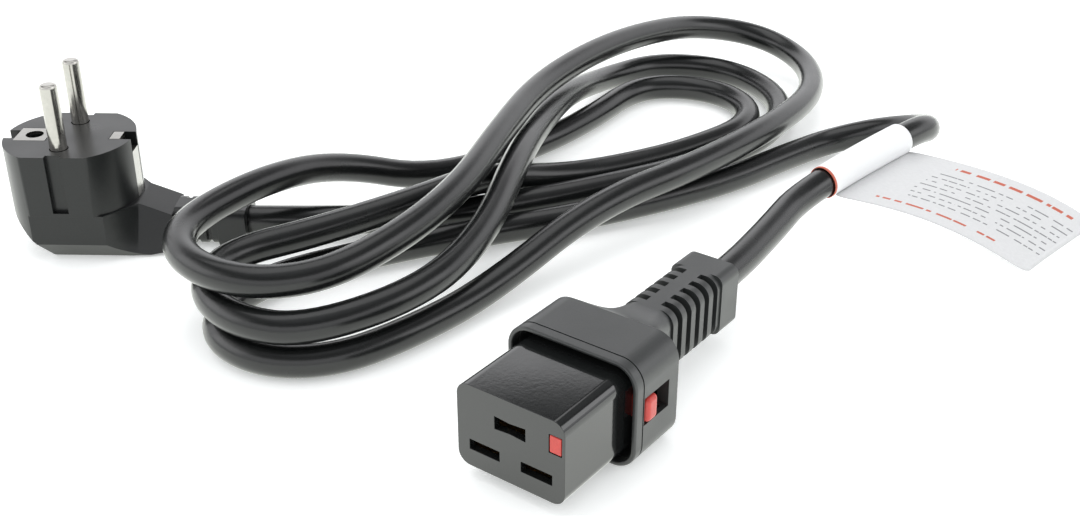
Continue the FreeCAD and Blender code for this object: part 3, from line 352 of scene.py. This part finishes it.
coil_back, coil_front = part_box("return_spring")
wire_radius = 0.0002
coil_length = coil_front[0] - coil_back[0]
coil_seat = (coil_front[0] - wire_radius, (coil_back[1] + coil_front[1]) / 2,
             (coil_back[2] + coil_front[2]) / 2)
coil = bpy.data.objects.new("coil", bpy.data.meshes.new("coil"))
bpy.context.scene.collection.objects.link(coil)
winder = coil.modifiers.new("winder", "NODES")
winder.node_group = coil_group()
coil_sizes = {"Turns": 5.0, "Coil radius": 0.0013, "Length": coil_length - 2 * wire_radius,
              "Wire radius": wire_radius, "Front": coil_seat, "Finish": steel}
for socket in winder.node_group.interface.items_tree:
    if socket.in_out == "INPUT" and socket.name in coil_sizes:
        winder[socket.identifier] = coil_sizes[socket.name]
coil.data = bpy.data.meshes.new_from_object(
    coil.evaluated_get(bpy.context.evaluated_depsgraph_get())
)
coil.modifiers.clear()
for face in coil.data.polygons:
    face.use_smooth = True
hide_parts("return_spring")
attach(coil, "connector")
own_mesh(coil)

# ---------------------------------------------------------------- release slider
# One red moulding that slides in the block: its front end fills the window in
# the face, and its button stands in the slot in the side.


def button_edges(form):
    """The outer corners of the button, which a thumb pushes."""
    outermost = max(vertex.co.y for vertex in form.verts)
    near = 0.00001
    corners = [vertex for vertex in form.verts if vertex.co.y > outermost - near]
    return list({edge for corner in corners for edge in corner.link_edges})


red = moulded(
    "release_red", dark=(0.42, 0.025, 0.02), light=(0.62, 0.05, 0.035),
    roughness=0.36, spread=0.15, grain=1500, depth=0.00002,
)
skin = softened("release_slider", red, width=0.00025, round_off=button_edges,
                round_width=0.0012)
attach(skin, "release")

# ---------------------------------------------------------------- cores
# The cord's three insulated cores, brown, blue and green with yellow. Each runs
# from its crimp through the grip, and again inside the plug.
core_shades = (
    ("brown", "line", (0.10, 0.04, 0.015), (0.14, 0.06, 0.025)),
    ("blue", "neutral", (0.02, 0.10, 0.40), (0.03, 0.14, 0.5)),
    ("green", "earth", (0.10, 0.32, 0.03), (0.55, 0.50, 0.04)),
)
for colour, wire_name, dark, light in core_shades:
    finish = moulded("core_" + colour, dark, light, roughness=0.35, spread=0.1, grain=400,
                     depth=0.00001)
    dress([wire_name + "_core", "plug_%s_core" % wire_name], finish)

# ---------------------------------------------------------------- cord
# Round black sheath of extruded vinyl, two metres of it in a loose hank. It
# leaves the grip's relief, folds back under its label and ends in the plug.
millimetre = 0.001
cord_radius = 4.25 * millimetre
# the route is in millimetres, and low is the line's height on the table
low = 4.3
plug_cord_height = 5.8
plug_turn = math.radians(125)
plug_x, plug_y = 19.7, -173.9


def from_plug(along):
    """Point in front of the plug, along the way its cord leaves."""
    return (plug_x + along * math.cos(plug_turn), plug_y + along * math.sin(plug_turn),
            plug_cord_height)


cord_points = [
    # out of the grip's relief and up to the label
    (-18, 0, 13.6), (-50, 0, 13.6), (-76, -2.2, 14.2), (-101, -5, 15.6), (-149, 7, 21.4),
    # the fold behind the label, down to the table
    (-160, 8.2, 18.8), (-168.5, -0.3, 14), (-169.5, -14, 8.8), (-162, -26, 4.6),
    # along the table to the near end of the hank, and round it
    (-144.5, -31.5, low), (-114, -38, low), (-72, -58, low), (-34, -84, low), (-8, -98, low),
    (13, -106.5, low), (31, -104, low), (41, -93, low), (41, -76.5, low), (30, -63, low),
    (9, -57, low),
    # over the first run to the far end, and round it, rising
    (-18, -54, 4.6), (-62, -50, 14), (-104, -40, 14), (-148, -37.5, 13), (-186, -43.5, 10),
    (-214, -61, 9), (-222, -85, 12), (-201, -102, 18), (-168, -105, 23),
    # on top of the others to the near end, and round it
    (-134, -104, 25.5), (-100, -99.5, 25.5), (-66, -87, 25.5), (-34, -74.5, 24.5),
    (-7, -69, 24), (21, -69.5, 23), (36, -78.5, 23), (41, -94.5, 23), (37, -111, 23),
    (24, -121, 23),
    # down to the table, to the far end and round it
    (-6, -124, 22.5), (-35, -124.5, 16.5), (-63, -111, low), (-104, -101, low),
    (-134, -100, low), (-163, -103, low), (-176, -91.5, low), (-179, -74, low),
    (-170, -59, low), (-154, -54, low),
    # back to the near end on the first run, and round it
    (-136, -57.5, low), (-116, -64, low), (-88, -79, 4.6), (-60, -88.5, 13.2),
    (-32, -92.5, 14.2), (-4, -101.5, 13.8), (20, -112, 13.7), (37, -102.8, 13.7),
    (42.5, -84, 13.7), (35.4, -66.6, 13.7), (4, -56, 14.5),
    # over the others to the far end, and round it on the table
    (-28, -62.5, 15.5), (-66, -80.5, 19.2), (-97, -95, 16.5), (-126, -106, 14),
    (-163.5, -116.5, 5), (-191, -110, low), (-201, -84, low), (-187, -56, low),
    (-158, -43.5, low),
    # the last run, into the plug's relief
    (-120, -51, low), (-86, -67, low), (-54, -87, low), (-37, -101, 4.6),
    from_plug(69), from_plug(35),
]

cord_curve = bpy.data.curves.new("cord", "CURVE")
cord_curve.dimensions = "3D"
line = cord_curve.splines.new("NURBS")
line.points.add(len(cord_points) - 1)
for point, place in zip(line.points, cord_points):
    point.co = (*(value * millimetre for value in place), 1.0)
line.order_u = 3
line.use_endpoint_u = True
line.resolution_u = 8
route_guide = bpy.data.objects.new("route_guide", cord_curve.copy())
bpy.context.scene.collection.objects.link(route_guide)
route_mesh = bpy.data.meshes.new_from_object(
    route_guide.evaluated_get(bpy.context.evaluated_depsgraph_get())
)
route = [vertex.co.copy() for vertex in route_mesh.vertices]
bpy.data.objects.remove(route_guide)
cord_curve.bevel_depth = cord_radius
cord_curve.bevel_resolution = 7
cord_curve.use_fill_caps = True
cord = bpy.data.objects.new("cord", cord_curve)
bpy.context.scene.collection.objects.link(cord)

sheath = moulded(
    "sheath_vinyl", dark=(0.004, 0.0045, 0.0045), light=(0.008, 0.009, 0.009),
    roughness=0.25, spread=0.12, grain=700, depth=0.00003, mirror=0.46,
)
cord_curve.materials.append(sheath)
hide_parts("cord_sheath")
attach(cord, "connector")

# ---------------------------------------------------------------- grip of the connector
# The grip is black soft vinyl moulded over the contact block and the cord, with
# a matt spark finish, hollow shoulders and a slotted relief that lets the cord
# bend. The ring in front of its parting line is of the same vinyl.
vinyl = moulded(
    "black_vinyl", dark=(0.016, 0.018, 0.018), light=(0.030, 0.032, 0.032),
    roughness=0.42, spread=0.16, grain=2600, depth=0.00003, mirror=0.6,
)
for part in ("grip_moulding", "front_ring"):
    skin = softened(part, vinyl, width=0.0005)
    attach(skin, "connector")

# ---------------------------------------------------------------- plug
# Right-angled plug moulded in black vinyl over its bridge, standing on its back
# with its pins up. The turned pins and the bent earth strip are nickel plated.
plug_vinyl = moulded(
    "plug_vinyl", dark=(0.006, 0.007, 0.007), light=(0.011, 0.012, 0.012),
    roughness=0.30, spread=0.14, grain=1800, depth=0.00002, mirror=0.32,
)
plug_skin = softened("plug_body", plug_vinyl, width=0.0005)
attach(plug_skin, "connector")
nickel = moulded(
    "nickel_plate", dark=(0.31, 0.305, 0.285), light=(0.40, 0.39, 0.365),
    roughness=0.19, spread=0.14, grain=800, depth=0.000006, metallic=1.0,
)
# The earth strip is the same nickel plating as the pins, in a darker copy: painted shade, so that
# it mirrors less of the bright table.
strip_nickel_painted_shade = moulded(
    "strip_nickel_painted_shade", dark=(0.26, 0.255, 0.24), light=(0.34, 0.335, 0.32),
    roughness=0.28, spread=0.16, grain=800, depth=0.000006, metallic=1.0,
)
dress(["earth_strip"], strip_nickel_painted_shade)
pin_skins = [softened(part, nickel, width=0.00025, segments=3)
             for part in ("plug_line_pin", "plug_neutral_pin")]
for skin in pin_skins:
    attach(skin, "connector")

# ---------------------------------------------------------------- label on the cord
# White film label: one sleeve round the cord, and its two ends stuck together
# as a flag that droops to the table. It carries plain bars and rules only.
label_width = 35.5 * millimetre
label_reach = 54.0 * millimetre
# where the label starts along the cord, and how far its flag slants for its reach
label_from = -15.1 * millimetre
label_lean = 0.42
across_steps = 14
before_label, after_label = cord_points[3:5]
run_middle = Vector(before_label).lerp(Vector(after_label), 0.5) * millimetre
nearest = min(range(len(route)), key=lambda place: (route[place] - run_middle).length)


def along_route(reach):
    """Point of the cord's line at a reach beyond the middle of the label's run."""
    place = nearest
    step = 1 if reach > 0 else -1
    left = abs(reach)
    while (route[place + step] - route[place]).length < left:
        left -= (route[place + step] - route[place]).length
        place += step
    return route[place] + (route[place + step] - route[place]).normalized() * left


label_line = [along_route(label_from + label_width * column / across_steps)
              for column in range(across_steps + 1)]
label_start = label_line[0]
label_axis = (label_line[-1] - label_line[0]).normalized()
label_out = Vector((label_axis.y, -label_axis.x, 0.0)).normalized()
label_up = label_out.cross(label_axis)
sleeve_radius = cord_radius + 0.45 * millimetre
sleeve_steps = 36
end_height = 0.7 * millimetre
ripple_height = 1.4 * millimetre
label_drop = label_start.z - end_height + label_axis.z * label_lean * label_reach
# how far out and how far down the flag is, from its root to its free end
droop = [(0.05, 0.20), (0.16, 0.22), (0.30, 0.26), (0.45, 0.33), (0.60, 0.44), (0.75, 0.60),
         (0.88, 0.79), (1.0, 1.0)]
label_form = bmesh.new()
surface = label_form.loops.layers.uv.new("label")


def label_sheet(rows, columns, point, mark):
    """Grid of faces over rows and columns, with a place on the print for each."""
    grid = [[label_form.verts.new(point(row, column)) for column in range(columns + 1)]
            for row in range(rows + 1)]
    for row in range(rows):
        for column in range(columns):
            corners = [(row, column), (row, column + 1), (row + 1, column + 1), (row + 1, column)]
            face = label_form.faces.new([grid[i][j] for i, j in corners])
            face.smooth = True
            for loop, (i, j) in zip(face.loops, corners):
                loop[surface].uv = mark(i, j)


def flag_point(row, column):
    """Place of a point of the flag, with a slight ripple that dies out at both ends."""
    outward, fall = droop[row]
    sideways = label_lean * label_reach * outward
    wave = math.sin(3.1 * column / across_steps + 4.0 * outward)
    ripple = ripple_height * wave * outward * (1.0 - outward)
    place = label_line[column] + label_axis * sideways + label_out * label_reach * outward
    return place + label_up * (ripple - label_drop * fall)


def sleeve_point(row, column):
    """Place of a point of the sleeve round the cord."""
    turn = 2 * math.pi * row / sleeve_steps
    ring = label_out * math.cos(turn) + label_up * math.sin(turn)
    return label_line[column] + ring * sleeve_radius


# on the print, the second number is 0 to 1 along the flag and negative on the sleeve
label_sheet(len(droop) - 1, across_steps, flag_point,
            lambda row, column: (column / across_steps, droop[row][0]))
label_sheet(sleeve_steps, across_steps, sleeve_point,
            lambda row, column: (column / across_steps, -0.5 + row / 100))
bmesh.ops.remove_doubles(label_form, verts=label_form.verts, dist=0.000001)
label_mesh = bpy.data.meshes.new("label")
label_form.to_mesh(label_mesh)
label_form.free()
label = bpy.data.objects.new("label", label_mesh)
bpy.context.scene.collection.objects.link(label)
finer = label.modifiers.new("finer", "SUBSURF")
finer.levels = finer.render_levels = 2
film = label.modifiers.new("film", "SOLIDIFY")
film.thickness = 0.25 * millimetre
film.offset = 0.0
label.data = bpy.data.meshes.new_from_object(
    label.evaluated_get(bpy.context.evaluated_depsgraph_get())
)
label.modifiers.clear()

film_finish = bpy.data.materials.new("label_film")
film_finish.use_nodes = True
film_tree = film_finish.node_tree
film_shader = film_tree.nodes["Principled BSDF"]
film_shader.inputs["Roughness"].default_value = 0.42
print_place = film_tree.nodes.new("ShaderNodeUVMap")
print_place.uv_map = "label"
print_split = film_tree.nodes.new("ShaderNodeSeparateXYZ")
film_tree.links.new(print_place.outputs["UV"], print_split.inputs[0])
across, along = print_split.outputs[0], print_split.outputs[1]


def film_math(operation, first, second=0.0):
    """One arithmetic node whose inputs are sockets or numbers."""
    node = film_tree.nodes.new("ShaderNodeMath")
    node.operation = operation
    for socket, value in zip(node.inputs, (first, second)):
        if hasattr(value, "links"):
            film_tree.links.new(value, socket)
        else:
            socket.default_value = value
    return node.outputs[0]


def within(value, low_end, high_end):
    """1 where the value lies between two numbers."""
    above = film_math("GREATER_THAN", value, low_end)
    below = film_math("LESS_THAN", value, high_end)
    return film_math("MULTIPLY", above, below)


rule_count = 13.0
rule_row = film_math("FLOOR", film_math("MULTIPLY", across, rule_count))
rule_part = film_math("FRACT", film_math("MULTIPLY", across, rule_count))


def broken(scale, share):
    """Gaps along the rules, other ones in each row."""
    row_jump = 7.3
    spot = film_tree.nodes.new("ShaderNodeCombineXYZ")
    film_tree.links.new(film_math("MULTIPLY", along, scale), spot.inputs[0])
    film_tree.links.new(film_math("MULTIPLY", rule_row, row_jump), spot.inputs[1])
    noise = film_tree.nodes.new("ShaderNodeTexNoise")
    noise.inputs["Scale"].default_value = 1.0
    noise.inputs["Detail"].default_value = 0.0
    film_tree.links.new(spot.outputs[0], noise.inputs["Vector"])
    return film_math("GREATER_THAN", noise.outputs["Fac"], share)


def printed_field(across_ends, along_ends, gap_scale, gap_share):
    """Broken print within two shares of the width and two of the reach."""
    field = film_math("MULTIPLY", within(across, *across_ends), within(along, *along_ends))
    return film_math("MULTIPLY", field, broken(gap_scale, gap_share))


rules = printed_field((0.23, 0.77), (0.30, 0.97), gap_scale=46.0, gap_share=0.46)
rules = film_math("MULTIPLY", rules, within(rule_part, 0.40, 0.58))
heading = printed_field((0.855, 0.892), (0.34, 0.92), gap_scale=30.0, gap_share=0.40)
footing = printed_field((0.118, 0.142), (0.22, 0.80), gap_scale=34.0, gap_share=0.42)
sleeve_edge = film_math("MULTIPLY", within(across, -0.01, 0.02),
                        film_math("LESS_THAN", along, -0.12))
bars = film_math("MAXIMUM", film_math("MAXIMUM", heading, footing), sleeve_edge)
cloud = film_tree.nodes.new("ShaderNodeTexNoise")
cloud.inputs["Scale"].default_value = 60.0
on_sleeve = film_math("LESS_THAN", along, 0.0)
# The flag's white film is made grey, painted shade, with a random cloudy change of tone over it;
# the sleeve keeps the film's white.
shaded_flag_dark, shaded_flag_light = (0.64, 0.64, 0.645), (0.72, 0.72, 0.725)
sleeve_white, grey_ink, red_ink = (0.86, 0.865, 0.87), (0.22, 0.22, 0.23), (0.56, 0.13, 0.08)
film_shade = mixed(film_tree, cloud.outputs["Fac"], shaded_flag_dark, shaded_flag_light)
film_shade = mixed(film_tree, on_sleeve, film_shade, sleeve_white)
film_shade = mixed(film_tree, rules, film_shade, grey_ink)
film_shade = mixed(film_tree, bars, film_shade, red_ink)
film_tree.links.new(film_shade, film_shader.inputs["Base Color"])
label.data.materials.append(film_finish)
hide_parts("cord_tag")
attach(label, "connector")
